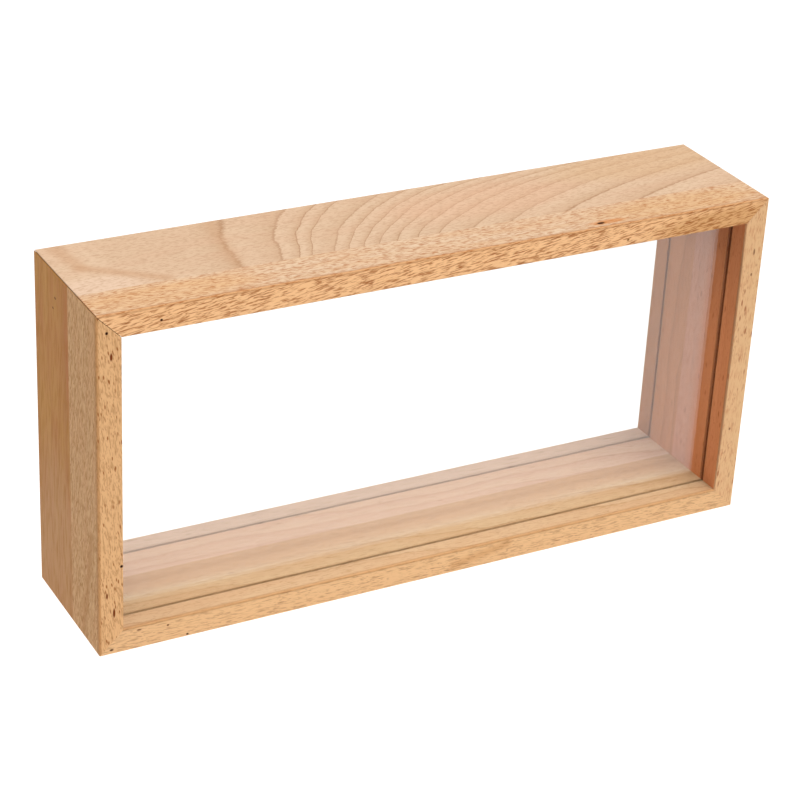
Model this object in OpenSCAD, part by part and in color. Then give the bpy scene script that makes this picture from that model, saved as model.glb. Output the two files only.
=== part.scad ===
// Beech shadow box with a lift-off lid and two clear panes that slide in grooves.
// Origin: middle of the underside. +X runs along the case, the front faces -Y, +Z is up.

/* [Case] */
// Overall width of the case
case_w = 350; // [260:1:460]
// Overall height of the case, lid on
case_h = 173; // [120:1:240]
// Overall depth, front rim to rear rim
case_d = 75; // [62:0.5:100]
// Thickness of all four boards
board_t = 12; // [10:0.2:16]
// Easing radius on the long outer arrises
outer_arris_r = 0.7; // [0.3:0.05:1.2]
// Easing radius on the arrises around the opening
inner_arris_r = 0.4; // [0.2:0.05:0.8]
// Easing radius on the four corners of the case, seen from the front
corner_r = 0.9; // [0.4:0.05:1.6]

/* [Staves] */
// Glue line of the left board, from the middle of the depth
left_glue_y = -4; // [-7:0.5:7]
// Glue line of the right board, from the middle of the depth
right_glue_y = 3; // [-7:0.5:7]
// Glue line of the bottom board, from the middle of the depth
bottom_glue_y = 5; // [-10:0.5:10]
// Glue line of the lid, from the middle of the depth
lid_glue_y = -15; // [-16:0.5:10]

/* [Panes and grooves] */
// Width of wood left in front of each groove
lip_w = 10.6; // [6:0.2:14]
// Depth of the grooves
groove_depth = 5; // [3:0.25:6]
// Thickness of the panes
pane_t = 2; // [1.5:0.1:3]
// Play of a pane in its groove, over its thickness
pane_play = 0.5; // [0.3:0.05:0.8]
// Gap between each upright edge of a pane and its groove
pane_side_gap = 0.4; // [0.3:0.1:1]
// Gap between the top edge of a pane and the lid's groove
pane_top_gap = 1; // [0.5:0.1:2]

/* [Lid joint] */
// Open gap of the left lid mitre, square to the joint
left_mitre_gap = 0.24; // [0.05:0.01:0.4]
// Open gap of the right lid mitre, square to the joint
right_mitre_gap = 0.08; // [0.05:0.01:0.4]
// Diameter of the locating pins
pin_d = 3; // [2:0.5:4]
// Length of the locating pins
pin_len = 14; // [10:0.5:18]
// Point chamfer of the locating pins
pin_chamfer = 0.4; // [0.2:0.1:0.6]
// Distance of the pin axes from the inner face of the board
pin_inset = 3.5; // [2.5:0.1:4.5]
// Running clearance of a pin in the lid, on the radius
pin_clearance = 0.08; // [0.04:0.01:0.1]
// Wood left in the lid over each pin hole
lid_cover = 2.7; // [1.5:0.1:3.5]
// Space between a pin's point and the end of its hole
pin_end_gap = 0.8; // [0.5:0.1:1.5]
// Diameter of the magnets
magnet_d = 6; // [4:0.5:7]
// Thickness of the magnets
magnet_t = 3; // [1:0.5:3]
// Wood between a magnet and the nearest groove
magnet_wall = 1.4; // [1:0.1:2]
// Wood between a magnet and the pin beside it
pin_wall = 3.5; // [2:0.1:5]

/* [Bottom mitre joint] */
// Thickness of the hidden splines
spline_t = 2.5; // [1.5:0.1:3.5]
// Width of the hidden splines, across the joint
spline_w = 9; // [6:0.5:10]
// Wood between a spline's end and the nearest groove
spline_wall = 2.4; // [1:0.1:6]
// Glue space past each long edge of a spline
spline_gap = 0.3; // [0.1:0.05:0.5]

/* [Hidden] */
$fn = 64;
arris_steps = 5;

beech_orange = [0.79, 0.55, 0.34];
beech_pink = [0.82, 0.63, 0.47];
clear_acrylic = [0.86, 0.90, 0.91, 0.35];
steel_grey = [0.70, 0.71, 0.72];
nickel_grey = [0.78, 0.77, 0.74];

half_w = case_w / 2;
half_d = case_d / 2;

// Groove, measured from the front face, and the same for the rear face
groove_w = pane_t + pane_play;
groove_edge_y = half_d - lip_w - groove_w;

// Panes: one edge stands on the bottom of the lower groove
pane_foot_z = board_t - groove_depth;
pane_w = case_w - 2 * (board_t - groove_depth) - 2 * pane_side_gap;
pane_h = case_h - 2 * pane_foot_z - pane_top_gap;
pane_y = half_d - lip_w - groove_w / 2;

// Lid joint: pins and magnets are laid out inwards from the grooves
mitre_mid = board_t / 2;
pin_from_side = board_t - pin_inset;
pin_top_z = case_h - lid_cover - pin_end_gap;
magnet_y = groove_edge_y - magnet_wall - magnet_d / 2;
pin_y = magnet_y - magnet_d / 2 - pin_wall - pin_d / 2;

// Bottom joint
spline_len = 2 * (groove_edge_y - spline_wall);

function arc_points(x, y, r, from, to) = [
    for (i = [0:arris_steps])
        let (a = from + (to - from) * i / arris_steps)
        [x + r * cos(a), y + r * sin(a)]
];

// Cross-section of a stave from the rim to its glue line, as [y, depth from the outer face]
function front_section(glue_y) = concat(
    [[glue_y, 0]],
    arc_points(outer_arris_r - half_d, outer_arris_r, outer_arris_r, 270, 180),
    arc_points(inner_arris_r - half_d, board_t - inner_arris_r, inner_arris_r, 180, 90),
    [
        [lip_w - half_d, board_t],
        [lip_w - half_d, board_t - groove_depth],
        [lip_w + groove_w - half_d, board_t - groove_depth],
        [lip_w + groove_w - half_d, board_t],
        [glue_y, board_t]
    ]
);

// A rear stave is a front stave turned round
function rear_section(glue_y) = [for (p = front_section(-glue_y)) [-p[0], p[1]]];

// Face of a mitred board between its two tips, as [length, depth from the outer face]
function mitred_face(low, high) = concat(
    arc_points(low + corner_r, corner_r, corner_r, 225, 270),
    arc_points(high - corner_r, corner_r, corner_r, 270, 315),
    [[high - board_t, board_t], [low + board_t, board_t]]
);

// Half of a lid gap is taken from each of the two mitres that meet there
function tip_setback(gap) = gap / 2 * sqrt(2);

// Stave lying along X with its outer face down, its tips at low and high
module stave(section, low, high) {
    intersection() {
        rotate([90, 0, 90])
            translate([0, 0, low])
                linear_extrude(high - low)
                    polygon(section);
        rotate([90, 0, 0])
            linear_extrude(case_d + 2, center = true)
                polygon(mitred_face(low, high));
    }
}

// Left things as they are, right things mirrored
module on_side(side) {
    if (side < 0)
        children();
    else
        mirror([1, 0, 0]) children();
}

// Upright stave of the left board, or of the right board when mirrored
module upright(section, lid_gap) {
    translate([-half_w, 0, 0])
        rotate([0, 90, 0])
            stave(section, tip_setback(lid_gap) - case_h, 0);
}

module at_lid_mitre() {
    translate([mitre_mid - half_w, 0, case_h - mitre_mid])
        rotate([0, 45, 0])
            children();
}

// Magnets on the left lid joint, from one depth to another along the joint's normal
module magnet_pair(from, to) {
    for (y = [-magnet_y, magnet_y])
        at_lid_mitre()
            translate([0, y, from])
                cylinder(d = magnet_d, h = to - from);
}

module pin_pair_at() {
    for (y = [-pin_y, pin_y])
        translate([pin_from_side - half_w, y, 0])
            children();
}

// One locating pin, both ends chamfered
module pin() {
    translate([0, 0, pin_top_z - pin_len]) {
        cylinder(d1 = pin_d - 2 * pin_chamfer, d2 = pin_d, h = pin_chamfer);
        translate([0, 0, pin_chamfer])
            cylinder(d = pin_d, h = pin_len - 2 * pin_chamfer);
        translate([0, 0, pin_len - pin_chamfer])
            cylinder(d1 = pin_d, d2 = pin_d - 2 * pin_chamfer, h = pin_chamfer);
    }
}

// Bottom left spline, or its slot when grown by the glue space
module spline(grow) {
    translate([mitre_mid - half_w, 0, mitre_mid])
        rotate([0, 45, 0])
            cube([spline_w + 2 * grow, spline_len, spline_t], center = true);
}

// What is cut from the left board: pin bores, magnet pockets, spline slot
module side_cuts() {
    pin_pair_at()
        translate([0, 0, pin_top_z - pin_len])
            cylinder(d = pin_d, h = pin_len + board_t);
    magnet_pair(-magnet_t, board_t);
    spline(spline_gap);
}

// What is cut from the left end of the lid: pin holes and magnet pockets
module lid_cuts() {
    pin_pair_at()
        translate([0, 0, case_h - board_t - 1])
            cylinder(d = pin_d + 2 * pin_clearance, h = board_t + 1 - lid_cover);
    magnet_pair(-board_t, magnet_t);
}

module side_stave(side, section, lid_gap, tint) {
    color(tint)
        on_side(side)
            difference() {
                upright(section, lid_gap);
                side_cuts();
            }
}

module bottom_stave(section, tint) {
    color(tint)
        difference() {
            stave(section, -half_w, half_w);
            on_side(-1) spline(spline_gap);
            on_side(1) spline(spline_gap);
        }
}

module lid_stave(section, tint) {
    color(tint)
        difference() {
            translate([0, 0, case_h])
                rotate([0, 180, 0])
                    stave(section, tip_setback(right_mitre_gap) - half_w,
                          half_w - tip_setback(left_mitre_gap));
            on_side(-1) lid_cuts();
            on_side(1) lid_cuts();
        }
}

module pane(y) {
    color(clear_acrylic)
        translate([-pane_w / 2, y - pane_t / 2, pane_foot_z])
            cube([pane_w, pane_t, pane_h]);
}

module left_board_front_stave() {
    side_stave(-1, front_section(left_glue_y), left_mitre_gap, beech_pink);
}

module left_board_rear_stave() {
    side_stave(-1, rear_section(left_glue_y), left_mitre_gap, beech_orange);
}

module right_board_front_stave() {
    side_stave(1, front_section(right_glue_y), right_mitre_gap, beech_pink);
}

module right_board_rear_stave() {
    side_stave(1, rear_section(right_glue_y), right_mitre_gap, beech_orange);
}

module bottom_board_front_stave() {
    bottom_stave(front_section(bottom_glue_y), beech_orange);
}

module bottom_board_rear_stave() {
    bottom_stave(rear_section(bottom_glue_y), beech_pink);
}

module lid_front_stave() {
    lid_stave(front_section(lid_glue_y), beech_orange);
}

module lid_rear_stave() {
    lid_stave(rear_section(lid_glue_y), beech_pink);
}

module front_pane() {
    pane(-pane_y);
}

module rear_pane() {
    pane(pane_y);
}

module bottom_left_spline() {
    color(beech_pink) on_side(-1) spline(0);
}

module bottom_right_spline() {
    color(beech_pink) on_side(1) spline(0);
}

module left_lid_pins() {
    color(steel_grey) on_side(-1) pin_pair_at() pin();
}

module right_lid_pins() {
    color(steel_grey) on_side(1) pin_pair_at() pin();
}

module left_board_magnets() {
    color(nickel_grey) on_side(-1) magnet_pair(-magnet_t, 0);
}

module right_board_magnets() {
    color(nickel_grey) on_side(1) magnet_pair(-magnet_t, 0);
}

module lid_left_magnets() {
    color(nickel_grey) on_side(-1) magnet_pair(0, magnet_t);
}

module lid_right_magnets() {
    color(nickel_grey) on_side(1) magnet_pair(0, magnet_t);
}

left_board_front_stave();
left_board_rear_stave();
right_board_front_stave();
right_board_rear_stave();
bottom_board_front_stave();
bottom_board_rear_stave();
lid_front_stave();
lid_rear_stave();
front_pane();
rear_pane();
bottom_left_spline();
bottom_right_spline();
left_lid_pins();
right_lid_pins();
left_board_magnets();
right_board_magnets();
lid_left_magnets();
lid_right_magnets();
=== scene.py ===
import math

import bpy
from mathutils import Matrix, Vector


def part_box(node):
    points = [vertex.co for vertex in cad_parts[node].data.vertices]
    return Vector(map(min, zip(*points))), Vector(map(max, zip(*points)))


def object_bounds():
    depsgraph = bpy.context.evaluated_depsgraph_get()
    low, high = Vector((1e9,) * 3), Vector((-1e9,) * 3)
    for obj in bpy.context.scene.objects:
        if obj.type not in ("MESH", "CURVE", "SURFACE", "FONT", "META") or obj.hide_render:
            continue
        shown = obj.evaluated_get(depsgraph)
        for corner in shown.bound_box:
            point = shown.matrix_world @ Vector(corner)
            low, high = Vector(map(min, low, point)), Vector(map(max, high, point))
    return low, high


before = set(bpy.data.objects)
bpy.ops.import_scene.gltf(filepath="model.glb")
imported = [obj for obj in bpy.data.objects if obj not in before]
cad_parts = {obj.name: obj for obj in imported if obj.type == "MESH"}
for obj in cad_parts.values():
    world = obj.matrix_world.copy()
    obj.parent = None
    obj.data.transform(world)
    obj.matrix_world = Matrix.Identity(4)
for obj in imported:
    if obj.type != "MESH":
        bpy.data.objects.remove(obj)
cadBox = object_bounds()
boxHigh = cadBox[1]
halfWidth = boxHigh.x
boxHeight = boxHigh.z
mm = 0.001
print("frame loaded:", len(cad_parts), "CAD nodes")


def linear(hexText):
    channels = [int(hexText[i:i + 2], 16) / 255 for i in (0, 2, 4)]
    decoded = [c / 12.92 if c <= 0.04045 else ((c + 0.055) / 1.055) ** 2.4 for c in channels]
    return (*decoded, 1.0)


# Adds one node, sets it up, links or fills its inputs, and gives back one of its outputs
def add(tree, kind, inputs=(), out=0, stops=(), **settings):
    made = tree.nodes.new("ShaderNode" + kind)
    for name, value in settings.items():
        setattr(made, name, value)
    named = inputs.items() if isinstance(inputs, dict) else enumerate(inputs)
    for name, value in named:
        if isinstance(value, bpy.types.NodeSocket):
            tree.links.new(value, made.inputs[name])
        else:
            made.inputs[name].default_value = value
    for i, (position, colour) in enumerate(stops):
        while len(made.color_ramp.elements) <= i:
            made.color_ramp.elements.new(1.0)
        made.color_ramp.elements[i].position = position
        made.color_ramp.elements[i].color = colour
    return made.outputs[out] if made.outputs else None


def newMaterial(name):
    material = bpy.data.materials.new(name)
    material.use_nodes = True
    material.node_tree.nodes.clear()
    return material, material.node_tree


def dress(piece, material):
    piece.data.materials.clear()
    piece.data.materials.append(material)


# How each board lies: grain along this axis, and depth from its outer face in mm
boards = {
    "left": {"along": "Z", "depthAxis": "X", "depthScale": 1, "depthFrom": halfWidth / mm},
    "right": {"along": "Z", "depthAxis": "X", "depthScale": -1, "depthFrom": halfWidth / mm},
    "bottom": {"along": "X", "depthAxis": "Z", "depthScale": 1, "depthFrom": 0},
    "lid": {"along": "X", "depthAxis": "Z", "depthScale": -1, "depthFrom": boxHeight / mm},
}

# One entry for each stave. Sizes are in mm: along the grain, across it, into the board.
# pores: the cell of their pattern, where they start and end in it, their strength
# rays, specks: the cell that holds one, its size in that cell, the share kept, the strength
# flow: how far the grain drifts across and inward for each mm along it
# sideShow: how strongly pores and rays show on the wide faces, 1 being the front edge
# tints lie under the pores and marks over them: place, size, colour, strength; some tints are
# painted light and shade, noted at their staves
# streaks are soft bands: from, to, width, colour, strength
staves = {
    "lid_rear_stave": {
        "board": "lid", "figure": "cathedral",
        "pale": "c2a68b", "deep": "b59679", "line": "9b785a", "flush": "bc977c",
        "fleck": "967050", "ringShow": 1.0, "sway": 0.8, "mottle": 0.35,
        "pores": ((2.6, 0.6, 0.6), 0.48, 0.66, 0.5),
        "rays": ((7, 2.2, 2.2), 0.24, 0.35, 0.3), "specks": ((2.4, 0.7, 0.7), 0.36, 0.5, 0.12),
        "flow": (0, 0), "sideShow": (0.9, 0.7),
        "tints": [((-165, -12, 0), (30, 16, 10), "c9ae97", 0.7),
                  ((40, 12, 0), (70, 22, 12), "c59c80", 0.4),
                  ((140, 24, 0), (70, 22, 12), "bc9a76", 0.5)],
        "streaks": [((-167, 40, 0), (-163, 11, 0), 7, "b08a6a", 0.55),
                    ((-163, 11, 0), (-131, -13, 0), 6, "b08a6a", 0.6),
                    ((-97, -13, 0), (-90, 36, 0), 6, "b08a6a", 0.4)],
        "marks": [],
    },
    "lid_front_stave": {
        "board": "lid", "figure": "straight",
        "ringWidth": 4.5, "slope": (-0.05, 0.55, 0.8),
        "pale": "cab39c", "deep": "c1a07b", "line": "965a2c", "flush": "c2966e",
        "fleck": "85441c", "ringShow": 0.25, "sway": 1.0, "mottle": 0.35,
        "pores": ((5.5, 0.55, 0.6), 0.48, 0.62, 0.75),
        "rays": ((11, 0.8, 0.75), 0.38, 0.75, 0.72), "specks": ((2.2, 0.6, 0.6), 0.36, 0.4, 0.2),
        "flow": (0.05, 0.15), "sideShow": (0.9, 0.3),
        "tints": [((130, -27, 0), (60, 14, 9), "c19767", 0.5),
                  ((-140, -27, 0), (60, 14, 9), "c79c6d", 0.5),
                  ((0, -37.5, 6), (900, 1.3, 14), "eeb984", 0.8),
                  ((155, -37.5, 9), (60, 1.3, 10), "c2905b", 0.7),
                  # Darker line along the front arris: painted shade that damps the highlight the
                  # rounded arris catches
                  ((0, -37.5, 0), (900, 2.2, 1.6), "936239", 0.5)],
        "streaks": [],
        "marks": [((85, -32.6, 0), (13, 2.8, 3), "b5733c", 0.7),
                  ((81, -33, 0), (2.8, 1.3, 2), "2c130a", 1.0),
                  ((-144.6, -37.5, 7), (0.9, 0.9, 0.8), "2c130a", 1.0),
                  ((94.4, -37.5, 9), (0.9, 0.9, 0.7), "6e4a22", 0.9)],
    },
    # The left board's base colours are more orange than the lid's: painted warm shade of the left
    # face. Its front and rear edge tints give the paler wood on its edges.
    "left_board_rear_stave": {
        "board": "left", "figure": "straight",
        "ringWidth": 11, "slope": (0.02, 0.9, 0.4),
        "pale": "b58345", "deep": "ac763b", "line": "9b6b35", "flush": "ac723d",
        "fleck": "815221", "ringShow": 0.5, "sway": 0.5, "mottle": 1.0,
        "pores": ((12, 1.1, 1), 0.46, 0.66, 0.55),
        "rays": ((12, 3, 3), 0.16, 0.25, 0.4), "specks": ((3, 1, 1), 0.36, 0.5, 0.12),
        "flow": (0.05, 0), "sideShow": (0.9, 0.7),
        "tints": [((18, 14, 0), (85, 36, 10), "b78b64", 0.6),
                  ((86, 37.5, 6), (400, 1.3, 14), "d3a26f", 0.85)],
        "streaks": [((75, 0, 0), (175, 1, 0), 5, "9c5f30", 0.4)],
        "marks": [((150, -2.2, 0), (45, 3, 3), "a9633c", 0.35),
                  ((160.4, 11, 0), (0.8, 1.4, 0.6), "5a3218", 0.8),
                  ((154.4, 14, 0), (0.7, 1.2, 0.6), "5a3218", 0.8)],
    },
    "left_board_front_stave": {
        "board": "left", "figure": "straight",
        "ringWidth": 4.5, "slope": (0.1, 0.9, 0.4),
        "pale": "c79f72", "deep": "bd9163", "line": "a67b4f", "flush": "c28f63",
        "fleck": "915b32", "ringShow": 0.85, "sway": 1.0, "mottle": 0.4,
        "pores": ((6, 0.7, 0.6), 0.48, 0.62, 0.6),
        "rays": ((4.6, 1.5, 1.3), 0.34, 0.65, 1.0), "specks": ((2.4, 0.9, 0.8), 0.38, 0.85, 0.5),
        "flow": (0.1, 0.12), "sideShow": (1.6, 0.6),
        "tints": [((86, -37.5, 6), (400, 1.3, 13), "d8a979", 0.85),
                  ((86, -37.2, 0), (400, 2.6, 1.6), "a16935", 0.5)],
        "streaks": [((0, -18, 0), (60, -30, 0), 4, "a3713f", 0.5)],
        "marks": [((164.2, -37.5, 5), (1, 0.9, 0.9), "2c130a", 1.0),
                  ((46, -37.5, 11.2), (1, 0.9, 1.1), "2c130a", 1.0),
                  ((152.4, -37.5, 7), (2.6, 0.8, 0.8), "6e3416", 1.0),
                  ((31.8, -37.5, 4), (2, 0.8, 0.7), "6e3416", 0.9),
                  ((22, -37.5, 7.4), (3.4, 0.8, 0.8), "6e3416", 1.0)],
    },
    # The right board's base colours are the dark orange-brown of its inner wall in shade: painted
    # shade. The tints over the outer face and the front and rear edges give the paler wood.
    "right_board_rear_stave": {
        "board": "right", "figure": "straight",
        "ringWidth": 7, "slope": (0.03, 0.6, 0.8),
        "pale": "c2845b", "deep": "b5774d", "line": "9c673c", "flush": "b8744d",
        "fleck": "875126", "ringShow": 0.5, "sway": 0.6, "mottle": 0.15,
        "pores": ((8, 0.6, 0.6), 0.5, 0.7, 0.4),
        "rays": ((9, 2.4, 2.4), 0.26, 0.5, 0.5), "specks": ((3, 1, 1), 0.36, 0.6, 0.25),
        "flow": (0.03, 0), "sideShow": (0.8, 0.8),
        "tints": [((86, 0, 0), (400, 90, 8), "c79664", 0.75),
                  ((86, 37.5, 6), (400, 1.3, 14), "d5a878", 0.85)],
        "streaks": [],
        "marks": [],
    },
    "right_board_front_stave": {
        "board": "right", "figure": "straight",
        "ringWidth": 5, "slope": (-0.03, 0.6, 0.8),
        "pale": "c57c52", "deep": "ba7347", "line": "a86138", "flush": "bc6f45",
        "fleck": "86421d", "ringShow": 0.45, "sway": 0.8, "mottle": 0.3,
        "pores": ((5, 0.6, 0.6), 0.5, 0.7, 0.5),
        "rays": ((8, 2.4, 2.6), 0.3, 0.5, 0.7), "specks": ((2.8, 1, 1), 0.38, 0.6, 0.35),
        "flow": (0.03, 0.04), "sideShow": (0.8, 0.8),
        "tints": [((86, 0, 0), (400, 90, 8), "c7925f", 0.75),
                  ((86, -37.5, 5), (400, 1.3, 14), "d6b084", 0.85),
                  # Dark line along the inner arris of the front edge: painted shade
                  ((86, -37.5, 12), (110, 1.4, 1.2), "6c3c1d", 0.6),
                  # Dark line where the front pane sits in its groove: painted shadow in the groove
                  ((86, -24, 12), (400, 1.3, 3), "4f250f", 0.6),
                  # Paler, greyer band in the middle of the inner wall: painted reflection of the
                  # pale table in the front pane
                  ((86, 0, 12), (400, 14, 8), "c9a797", 0.3)],
        "streaks": [],
        "marks": [((145, -37.5, 5.3), (2.2, 0.8, 0.7), "6e4a30", 0.8),
                  ((132.8, -37.5, 5.4), (1.1, 0.8, 0.7), "6e4a30", 0.8),
                  ((46.6, -37.5, 7), (1, 0.8, 0.7), "6e4a30", 0.8),
                  ((6, -37.5, 6.7), (0.9, 0.8, 0.9), "5a3218", 0.9)],
    },
    "bottom_board_rear_stave": {
        "board": "bottom", "figure": "straight",
        "ringWidth": 8, "slope": (0.04, 0.8, 0.5),
        "pale": "c5a186", "deep": "bb8f75", "line": "a47a59", "flush": "bd8e75",
        "fleck": "885e3e", "ringShow": 0.5, "sway": 0.6, "mottle": 0.15,
        "pores": ((9, 0.7, 0.7), 0.5, 0.7, 0.4),
        "rays": ((9, 2.6, 2.6), 0.24, 0.4, 0.5), "specks": ((3, 1, 1), 0.36, 0.6, 0.25),
        "flow": (0.02, 0), "sideShow": (0.8, 0.8),
        # Paler lip behind the rear pane: painted light, standing in for the light that reaches it
        # from behind
        "tints": [((0, 33.5, 12), (900, 9, 6), "deb79f", 0.9)],
        "streaks": [],
        "marks": [],
    },
    "bottom_board_front_stave": {
        "board": "bottom", "figure": "straight",
        "ringWidth": 5.5, "slope": (0.03, 0.35, 0.9),
        "pale": "bc9d7b", "deep": "b48e6a", "line": "976f49", "flush": "b58a64",
        "fleck": "7b4f31", "ringShow": 0.6, "sway": 1.0, "mottle": 0.35,
        "pores": ((6, 0.6, 0.6), 0.5, 0.68, 0.55),
        "rays": ((8, 1.6, 1.5), 0.3, 0.5, 0.5), "specks": ((2.6, 0.8, 0.8), 0.38, 0.6, 0.35),
        "flow": (0.02, 0.04), "sideShow": (0.8, 0.8),
        "tints": [((0, -37.5, 6), (900, 1.1, 13), "deb283", 0.85),
                  # Darker middle of the inner floor, between the panes: painted shade
                  ((0, 0, 12), (900, 14, 8), "b48761", 0.8),
                  # Thin dark line where the front pane sits in its groove: painted shadow in the
                  # groove
                  ((0, -24, 12), (900, 0.9, 3), "996d43", 0.35),
                  ((0, -37.5, 12), (900, 2.4, 1.4), "9b6735", 0.5)],
        "streaks": [((-175, -0.5, 12), (175, -2, 12), 4, "96643a", 0.28),
                    ((10, -37.5, 4), (40, -37.5, 9), 4, "b07a42", 0.4)],
        "marks": [((-169, -37.5, 2.3), (1.3, 0.9, 0.8), "3a1d10", 0.9),
                  ((-155.4, -37.5, 9.8), (1.6, 0.9, 0.6), "5a3218", 0.8),
                  ((-141.1, -37.5, 8.7), (0.8, 0.8, 0.7), "5a3218", 0.9),
                  ((-131.3, -37.5, 1.3), (0.9, 0.8, 0.7), "3a1d10", 0.9)],
    },
}

# Where each year's ring of the lid's rear stave meets the glue line, in mm from the middle
ringStarts = [-131, -94, -75, -67, -61, -49, -42, -34, -26, -17, -6, 6, 25, 45, 76, 120, 190]
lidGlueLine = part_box("lid_rear_stave")[0].y / mm


# The arch: rings stand up steeply at x "from" and lie down towards x "to"
arch = {"from": -95, "to": 175, "bend": 1.25, "leanFirst": 0.19, "leanGain": 2.9,
        "leftHeight": 23.0, "leftLean": 1.45, "leftLimit": -112.0, "inward": 1.6, "wander": 7.0}


def cathedralRings(tree, grain, wander):
    parts = add(tree, "SeparateXYZ", [grain]).node.outputs
    rise = add(tree, "Math", [parts["Y"], -lidGlueLine], operation="ADD")
    share = add(tree, "MapRange", {"Value": parts["X"], "From Min": arch["from"],
                                   "From Max": arch["to"]})
    bend = add(tree, "Math", [share, arch["bend"]], operation="POWER")
    lean = add(tree, "Math", [bend, arch["leanGain"], arch["leanFirst"]],
               operation="MULTIPLY_ADD")
    run = add(tree, "Math", [lean, rise], operation="MULTIPLY")
    start = add(tree, "Math", [parts["X"], run], operation="SUBTRACT")
    # The first ring leans the other way, and nothing lies between it and the second
    low = add(tree, "Math", [rise, arch["leftHeight"]], operation="MINIMUM")
    leftSide = add(tree, "Math", [low, arch["leftLean"], parts["X"]], operation="MULTIPLY_ADD")
    leftSide = add(tree, "Math", [leftSide, arch["leftLimit"]], operation="MINIMUM")
    start = add(tree, "Math", [start, leftSide], operation="MAXIMUM")
    start = add(tree, "Math", [parts["Z"], arch["inward"], start], operation="MULTIPLY_ADD")
    start = add(tree, "Math", [wander, arch["wander"], start], operation="MULTIPLY_ADD")
    first, last = ringStarts[0], ringStarts[-1]
    place = add(tree, "MapRange", {"Value": start, "From Min": first, "From Max": last},
                clamp=False)
    count = len(ringStarts) - 1
    levels = [((s - first) / (last - first), (i / count, i / count, i / count, 1))
              for i, s in enumerate(ringStarts)]
    level = add(tree, "ValToRGB", [place], stops=levels)
    return add(tree, "Math", [level, count], operation="MULTIPLY")


# Rings cut nearly along the grain, seen as long bands
def straightRings(tree, grain, wander, look):
    along, across, inward = look["slope"]
    width = look["ringWidth"]
    turned = add(tree, "VectorMath", [grain, (along / width, across / width, inward / width)],
                 out="Value", operation="DOT_PRODUCT")
    return add(tree, "Math", [wander, beech["bandWander"], turned], operation="MULTIPLY_ADD")


# A soft spot, 1 in its middle and 0 outside: it lays real marks in the wood, and the tints, some of
# which are painted light and shade
def spotForMarksAndPaintedLight(tree, grain, at, size):
    away = add(tree, "VectorMath", [grain, at], operation="SUBTRACT")
    away = add(tree, "VectorMath", [away, size], operation="DIVIDE")
    away = add(tree, "VectorMath", [away], out="Value", operation="LENGTH")
    return add(tree, "MapRange", {"Value": away, "From Min": 1.0, "From Max": 0.45},
               interpolation_type="SMOOTHSTEP")


# A soft band from one place to another, 1 along its middle
def woodStreak(tree, grain, start, end, width):
    run = Vector(end) - Vector(start)
    away = add(tree, "VectorMath", [grain, start], operation="SUBTRACT")
    along = add(tree, "VectorMath", [away, run / run.length_squared], out="Value",
                operation="DOT_PRODUCT")
    along = add(tree, "Clamp", [along])
    reached = add(tree, "VectorMath", {0: run, "Scale": along}, operation="SCALE")
    away = add(tree, "VectorMath", [away, reached], out="Value", operation="DISTANCE")
    return add(tree, "MapRange", {"Value": away, "From Min": width, "From Max": 0.0},
               interpolation_type="SMOOTHSTEP")


# Spindle-shaped rays: one in each cell of a stretched grid, and only a share of them
def spindles(tree, grain, cell, size, share, strength):
    stretched = add(tree, "VectorMath", [grain, cell], operation="DIVIDE")
    cells = add(tree, "TexVoronoi", {"Vector": stretched, "Scale": 1.0}).node.outputs
    body = add(tree, "MapRange", {"Value": cells["Distance"], "From Min": size,
                                  "From Max": size * 0.4}, interpolation_type="SMOOTHSTEP")
    chosen = add(tree, "MapRange", {"Value": cells["Color"], "From Min": 1 - share,
                                    "From Max": 1 - share * 0.5, "To Max": strength})
    return add(tree, "Math", [body, chosen], operation="MULTIPLY")


# What all staves share. Sizes in mm as above; bandWander and tremble are in ring widths
beech = {
    "wanderSize": (90, 24, 24), "bandWander": 1.6, "trembleSize": (3, 1.2, 1.2), "tremble": 0.16,
    "yearLuck": (0.6, 1.15), "cloudSize": (40, 9, 9), "swaySize": (6, 3, 3), "swayAlong": 0.5,
    "endShade": 0.7, "rough": (0.46, 0.62), "ior": 1.5, "sheen": 0.04,
    "bump": 0.35, "bumpHeight": 0.08, "poreDepth": 0.6, "rayDepth": 0.5, "markDepth": 1.5,
}


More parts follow.
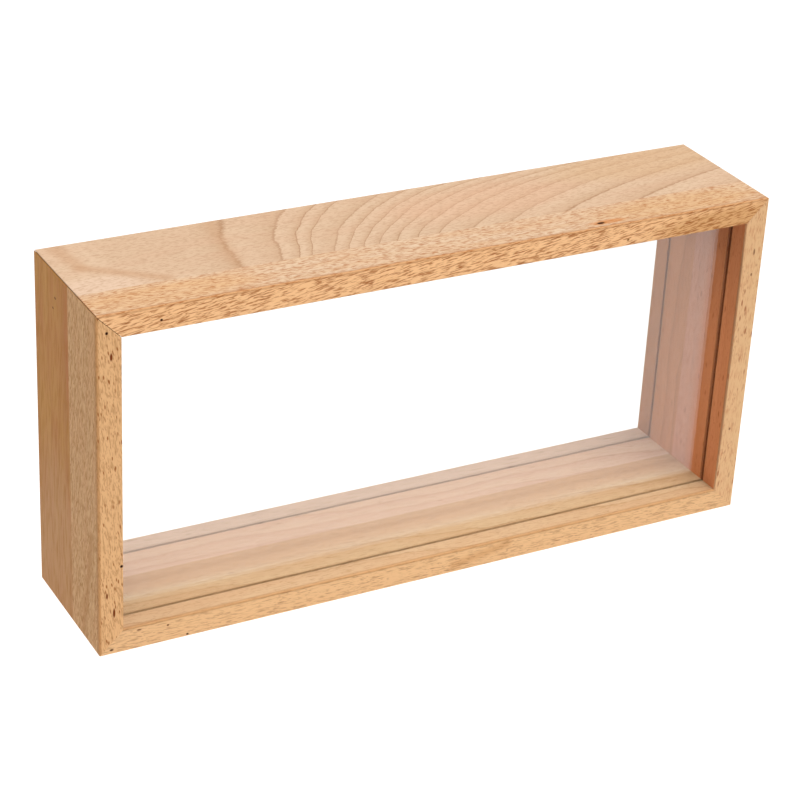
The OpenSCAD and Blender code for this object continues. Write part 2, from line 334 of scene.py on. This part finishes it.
# Planed and sanded beech with a thin oil: satin, warm, with fine short pores and brown rays
def oiledBeech(name, look):
    material, tree = newMaterial("oiled_beech_" + name)
    board = boards[look["board"]]
    place = add(tree, "TexCoord", out="Object")
    sides = add(tree, "SeparateXYZ", [place]).node.outputs
    laid = add(tree, "CombineXYZ", [sides[board["along"]], sides["Y"], sides[board["depthAxis"]]])
    grain = add(tree, "VectorMath", [laid, (1 / mm, 1 / mm, board["depthScale"] / mm),
                                     (0, 0, board["depthFrom"])], operation="MULTIPLY_ADD")

    long = add(tree, "VectorMath", [grain, beech["wanderSize"]], operation="DIVIDE")
    wander = add(tree, "TexNoise", {"Vector": long, "Scale": 1.0, "Detail": 2.0})
    wander = add(tree, "Math", [wander, 0.5], operation="SUBTRACT")
    if look["figure"] == "cathedral":
        rings = cathedralRings(tree, grain, wander)
    else:
        rings = straightRings(tree, grain, wander, look)
    short = add(tree, "VectorMath", [grain, beech["trembleSize"]], operation="DIVIDE")
    tremble = add(tree, "TexNoise", {"Vector": short, "Scale": 1.0, "Detail": 2.0})
    rings = add(tree, "Math", [tremble, beech["tremble"], rings], operation="MULTIPLY_ADD")
    year = add(tree, "Math", [rings], operation="FRACT")
    pale, deep, line = (linear(look[k]) for k in ("pale", "deep", "line"))
    plain = [(a + b) / 2 for a, b in zip(pale, deep)]
    ringTone = add(tree, "ValToRGB", [year],
                   stops=[(0.0, line), (0.03, pale), (0.35, pale), (0.7, plain),
                          (0.94, deep), (0.98, line)])
    # Some years stand out more than others
    whole = add(tree, "Math", [rings], operation="FLOOR")
    luck = add(tree, "TexWhiteNoise", {"W": whole}, noise_dimensions="1D")
    least, most = (look["ringShow"] * share for share in beech["yearLuck"])
    ringShow = add(tree, "MapRange", {"Value": luck, "To Min": least, "To Max": most})
    tone = add(tree, "Mix", {0: ringShow, 6: plain, 7: ringTone}, out=2, data_type="RGBA")

    broad = add(tree, "VectorMath", [grain, beech["cloudSize"]], operation="DIVIDE")
    cloud = add(tree, "TexNoise", {"Vector": broad, "Scale": 1.0, "Detail": 3.0})
    cloud = add(tree, "MapRange", {"Value": cloud, "From Min": 0.4, "From Max": 0.68,
                                   "To Max": look["mottle"]})
    tone = add(tree, "Mix", {0: cloud, 6: tone, 7: linear(look["flush"])}, out=2, data_type="RGBA")

    # Tints: the wood's own tone, and on some staves painted light and shade
    for at, size, colour, strength in look["tints"]:
        tint = spotForMarksAndPaintedLight(tree, grain, at, size)
        tint = add(tree, "Math", [tint, strength], operation="MULTIPLY")
        tone = add(tree, "Mix", {0: tint, 6: tone, 7: linear(colour)}, out=2, data_type="RGBA")

    for start, end, width, colour, strength in look["streaks"]:
        streak = woodStreak(tree, grain, start, end, width)
        streak = add(tree, "Math", [streak, strength], operation="MULTIPLY")
        tone = add(tree, "Mix", {0: streak, 6: tone, 7: linear(colour)}, out=2, data_type="RGBA")

    # The grain sways a little round each ray
    sway = add(tree, "VectorMath", [grain, beech["swaySize"]], operation="DIVIDE")
    sway = add(tree, "TexNoise", {"Vector": sway, "Scale": 1.0, "Detail": 1.0}, out="Color")
    reach = (beech["swayAlong"], look["sway"], look["sway"])
    swayed = add(tree, "VectorMath", [sway, reach, grain], operation="MULTIPLY_ADD")
    length = add(tree, "VectorMath", [grain, (1, 0, 0)], out="Value", operation="DOT_PRODUCT")
    swayed = add(tree, "VectorMath", [length, (0, *look["flow"]), swayed],
                 operation="MULTIPLY_ADD")

    # Pores and rays stand out on the front edges and lie flatter on the other faces
    facing = add(tree, "TexCoord", out="Normal")
    frontOn = add(tree, "VectorMath", [facing, (0, 1, 0)], out="Value", operation="DOT_PRODUCT")
    frontOn = add(tree, "Math", [frontOn], operation="ABSOLUTE")
    poresOn, raysOn = (add(tree, "MapRange", {"Value": frontOn, "From Min": 0.3, "From Max": 0.8,
                                              "To Min": least}) for least in look["sideShow"])

    # Pores are 0.1 mm wide: drawn about 0.5 mm wide to show
    poreCell, poreFrom, poreTo, poreShow = look["pores"]
    fine = add(tree, "VectorMath", [swayed, poreCell], operation="DIVIDE")
    pores = add(tree, "TexNoise", {"Vector": fine, "Scale": 1.0, "Detail": 2.0})
    pores = add(tree, "MapRange", {"Value": pores, "From Min": poreFrom, "From Max": poreTo})
    pores = add(tree, "Math", [pores, poresOn], operation="MULTIPLY")
    poreTone = add(tree, "Math", [pores, poreShow], operation="MULTIPLY")
    tone = add(tree, "Mix", {0: poreTone, 6: tone, 7: line}, out=2, data_type="RGBA")

    rays = spindles(tree, swayed, *look["rays"])
    specks = spindles(tree, swayed, *look["specks"])
    flecks = add(tree, "Math", [rays, specks], operation="MAXIMUM")
    flecks = add(tree, "Math", [flecks, raysOn], operation="MULTIPLY")
    tone = add(tree, "Mix", {0: flecks, 6: tone, 7: linear(look["fleck"])}, out=2,
               data_type="RGBA")

    # Cut ends drink more oil and turn darker
    axis = (1, 0, 0) if board["along"] == "X" else (0, 0, 1)
    endOn = add(tree, "VectorMath", [facing, axis], out="Value", operation="DOT_PRODUCT")
    endOn = add(tree, "Math", [endOn], operation="ABSOLUTE")
    endOn = add(tree, "MapRange", {"Value": endOn, "From Min": 0.2, "From Max": 0.65,
                                   "To Max": beech["endShade"]})
    tone = add(tree, "Mix", {0: endOn, 6: tone, 7: line}, out=2, data_type="RGBA")

    height = add(tree, "Math", [pores, -beech["poreDepth"]], operation="MULTIPLY")
    height = add(tree, "Math", [flecks, -beech["rayDepth"], height], operation="MULTIPLY_ADD")
    for at, size, colour, strength in look["marks"]:
        mark = spotForMarksAndPaintedLight(tree, grain, at, size)
        mark = add(tree, "Math", [mark, strength], operation="MULTIPLY")
        tone = add(tree, "Mix", {0: mark, 6: tone, 7: linear(colour)}, out=2, data_type="RGBA")
        height = add(tree, "Math", [mark, -beech["markDepth"], height], operation="MULTIPLY_ADD")

    satin, dull = beech["rough"]
    rough = add(tree, "MapRange", {"Value": pores, "To Min": satin, "To Max": dull})
    bump = add(tree, "Bump", {"Strength": beech["bump"], "Distance": beech["bumpHeight"] * mm,
                              "Height": height})
    wood = add(tree, "BsdfPrincipled", {"Base Color": tone, "Roughness": rough, "Normal": bump,
                                        "IOR": beech["ior"], "Specular IOR Level": beech["sheen"]})
    add(tree, "OutputMaterial", [wood])
    return material


for name, look in staves.items():
    dress(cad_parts[name], oiledBeech(name, look))
print("beech staves:", len(staves))


# waves and wipes are per metre; rough runs from clean sheet to wipe marks
acrylic = {"tint": "fbfdfd", "shadow": "f4f7f7", "ior": 1.49, "coat": 0.3, "waves": 18.0,
           "wipes": 90.0, "rough": (0.0, 0.005), "bump": 0.03, "bumpHeight": 0.05}


# Cast acrylic, polished: clear, with a faint waviness that bends its reflections
def castAcrylic():
    material, tree = newMaterial("cast_acrylic")
    place = add(tree, "TexCoord", out="Object")
    slow = add(tree, "TexNoise", {"Vector": place, "Scale": acrylic["waves"], "Detail": 1.0})
    wipe = add(tree, "TexNoise", {"Vector": place, "Scale": acrylic["wipes"], "Detail": 3.0})
    clean, wiped = acrylic["rough"]
    rough = add(tree, "MapRange", {"Value": wipe, "From Min": 0.4, "From Max": 0.8,
                                   "To Min": clean, "To Max": wiped})
    bump = add(tree, "Bump", {"Strength": acrylic["bump"], "Height": slow,
                              "Distance": acrylic["bumpHeight"] * mm})
    clear = add(tree, "BsdfPrincipled", {"Base Color": linear(acrylic["tint"]),
                                         "Roughness": rough, "IOR": acrylic["ior"],
                                         "Transmission Weight": 1.0,
                                         "Coat Weight": acrylic["coat"], "Normal": bump})
    # The sheet takes a little of the light that it lets through
    through = add(tree, "BsdfTransparent", {"Color": linear(acrylic["shadow"])})
    shadow = add(tree, "LightPath", out="Is Shadow Ray")
    both = add(tree, "MixShader", [shadow, clear, through])
    add(tree, "OutputMaterial", [both])
    return material


clearSheet = castAcrylic()
panes = ("front_pane", "rear_pane")
for name in panes:
    dress(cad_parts[name], clearSheet)
print("panes:", len(panes))


# turning: across and along the pin, per metre
pinSteel = {"colour": "c3c4c6", "turning": (300, 300, 9000), "rough": (0.22, 0.42), "bump": 0.2}


# Ground steel: grey, with fine turning marks round the pin
def groundSteel():
    material, tree = newMaterial("ground_steel")
    place = add(tree, "TexCoord", out="Object")
    turned = add(tree, "VectorMath", [place, pinSteel["turning"]], operation="MULTIPLY")
    marks = add(tree, "TexNoise", {"Vector": turned, "Scale": 1.0, "Detail": 2.0})
    smooth, dull = pinSteel["rough"]
    rough = add(tree, "MapRange", {"Value": marks, "To Min": smooth, "To Max": dull})
    bump = add(tree, "Bump", {"Strength": pinSteel["bump"], "Distance": 0.01 * mm,
                              "Height": marks})
    steel = add(tree, "BsdfPrincipled", {"Base Color": linear(pinSteel["colour"]),
                                         "Metallic": 1.0, "Roughness": rough, "Normal": bump})
    add(tree, "OutputMaterial", [steel])
    return material


# peel is per metre
magnetPlate = {"colour": "d6d2c8", "peel": 1800.0, "rough": (0.14, 0.3), "bump": 0.15}


# Nickel plate on a pressed magnet: bright, a little yellow, with a soft orange peel
def nickelPlate():
    material, tree = newMaterial("nickel_plate")
    place = add(tree, "TexCoord", out="Object")
    peel = add(tree, "TexNoise", {"Vector": place, "Scale": magnetPlate["peel"], "Detail": 2.0})
    smooth, dull = magnetPlate["rough"]
    rough = add(tree, "MapRange", {"Value": peel, "To Min": smooth, "To Max": dull})
    bump = add(tree, "Bump", {"Strength": magnetPlate["bump"], "Distance": 0.01 * mm,
                              "Height": peel})
    nickel = add(tree, "BsdfPrincipled", {"Base Color": linear(magnetPlate["colour"]),
                                          "Metallic": 1.0, "Roughness": rough, "Normal": bump})
    add(tree, "OutputMaterial", [nickel])
    return material


steel = groundSteel()
nickel = nickelPlate()
splineWood = oiledBeech("spline", staves["bottom_board_rear_stave"])  # cut from the same board
for name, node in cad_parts.items():
    if name.endswith("_pins"):
        dress(node, steel)
    if name.endswith("_magnets"):
        dress(node, nickel)
    if name.endswith("_spline"):
        dress(node, splineWood)
print("joint parts dressed")


# White melamine table: even and matt, with hardly any cloud in its white
def whiteMelamine():
    material, tree = newMaterial("white_melamine")
    place = add(tree, "TexCoord", out="Object")
    grainy = add(tree, "TexNoise", {"Vector": place, "Scale": 40.0, "Detail": 4.0})
    tone = add(tree, "ValToRGB", [grainy], stops=[(0.3, linear("e6e6e5")), (0.7, linear("e9e9e9"))])
    board = add(tree, "BsdfPrincipled", {"Base Color": tone, "Roughness": 0.6,
                                         "Specular IOR Level": 0.2})
    add(tree, "OutputMaterial", [board])
    return material


# Large enough to fill the view from any side, reach in metres
def layFloor(reach):
    mesh = bpy.data.meshes.new("floor")
    corners = [(-reach, -reach, 0), (reach, -reach, 0), (reach, reach, 0), (-reach, reach, 0)]
    mesh.from_pydata(corners, [], [(0, 1, 2, 3)])
    floor = bpy.data.objects.new("floor", mesh)
    bpy.context.scene.collection.objects.link(floor)
    dress(floor, whiteMelamine())
    return floor


floor = layFloor(12)


def gather(name, members):
    group = bpy.data.collections.new(name)
    for member in members:
        group.objects.link(member)
    return group


boxGroup = gather("shadow_box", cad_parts.values())
floorGroup = gather("table", [floor])

# strength is the brightness that a white face square to the light takes from it
lamps = {
    "key": {"toward": (0.2, -0.3, 0.93), "spread": 60, "strength": 1.3, "on": boxGroup},
    "back": {"toward": (-0.35, 0.85, 0.4), "spread": 50, "strength": 0.35, "on": boxGroup},
    "table_light": {"toward": (0, 0, 1), "spread": 60, "strength": 1.3, "on": floorGroup},
}


def softSun(name, lamp):
    light = bpy.data.lights.new(name, "SUN")
    light.angle = math.radians(lamp["spread"])
    light.energy = lamp["strength"] * math.pi
    piece = bpy.data.objects.new(name, light)
    piece.rotation_mode = "QUATERNION"
    piece.rotation_quaternion = Vector(lamp["toward"]).to_track_quat("Z", "Y")
    bpy.context.scene.collection.objects.link(piece)
    piece.light_linking.receiver_collection = lamp["on"]
    if name == "table_light":
        piece.light_linking.blocker_collection = lamp["on"]


for name, lamp in lamps.items():
    softSun(name, lamp)


# Dim white room that lights, and a pale backdrop where the eye looks past the table
def paleRoom(fill, backdrop):
    world = bpy.data.worlds.new("pale_room")
    bpy.context.scene.world = world
    world.use_nodes = True
    tree = world.node_tree
    tree.nodes.clear()
    path = add(tree, "LightPath").node.outputs
    seen = add(tree, "Math", [path["Is Camera Ray"], path["Is Transmission Ray"]],
               operation="MAXIMUM")
    strength = add(tree, "MapRange", {"Value": seen, "To Min": fill, "To Max": backdrop})
    light = add(tree, "Background", {"Color": (1, 1, 1, 1), "Strength": strength})
    add(tree, "OutputWorld", [light])


paleRoom(fill=0.25, backdrop=0.95)
bpy.context.scene.view_settings.view_transform = "Standard"
print("stage lit")

# The eye stands left of the front and above, angles in degrees, sizes in mm
eye = {"azimuth": -29.22, "elevation": 27.69, "roll": 3.03, "distance": 1192,
       "aim": (-4.4, -1.1, 80.6), "lens": 110.9}


def placeCamera(eye):
    a, e = math.radians(eye["azimuth"]), math.radians(eye["elevation"])
    back = Vector((math.sin(a) * math.cos(e), -math.cos(a) * math.cos(e), math.sin(e)))
    turn = (-back).to_track_quat("-Z", "Y").to_matrix().to_4x4()
    tilt = Matrix.Rotation(math.radians(eye["roll"]), 4, "Z")
    data = bpy.data.cameras.new("camera")
    data.lens = eye["lens"]
    camera = bpy.data.objects.new("camera", data)
    spot = Vector(eye["aim"]) * mm + back * eye["distance"] * mm
    camera.matrix_world = Matrix.Translation(spot) @ turn @ tilt
    bpy.context.scene.collection.objects.link(camera)
    bpy.context.scene.camera = camera


placeCamera(eye)
print("camera placed")
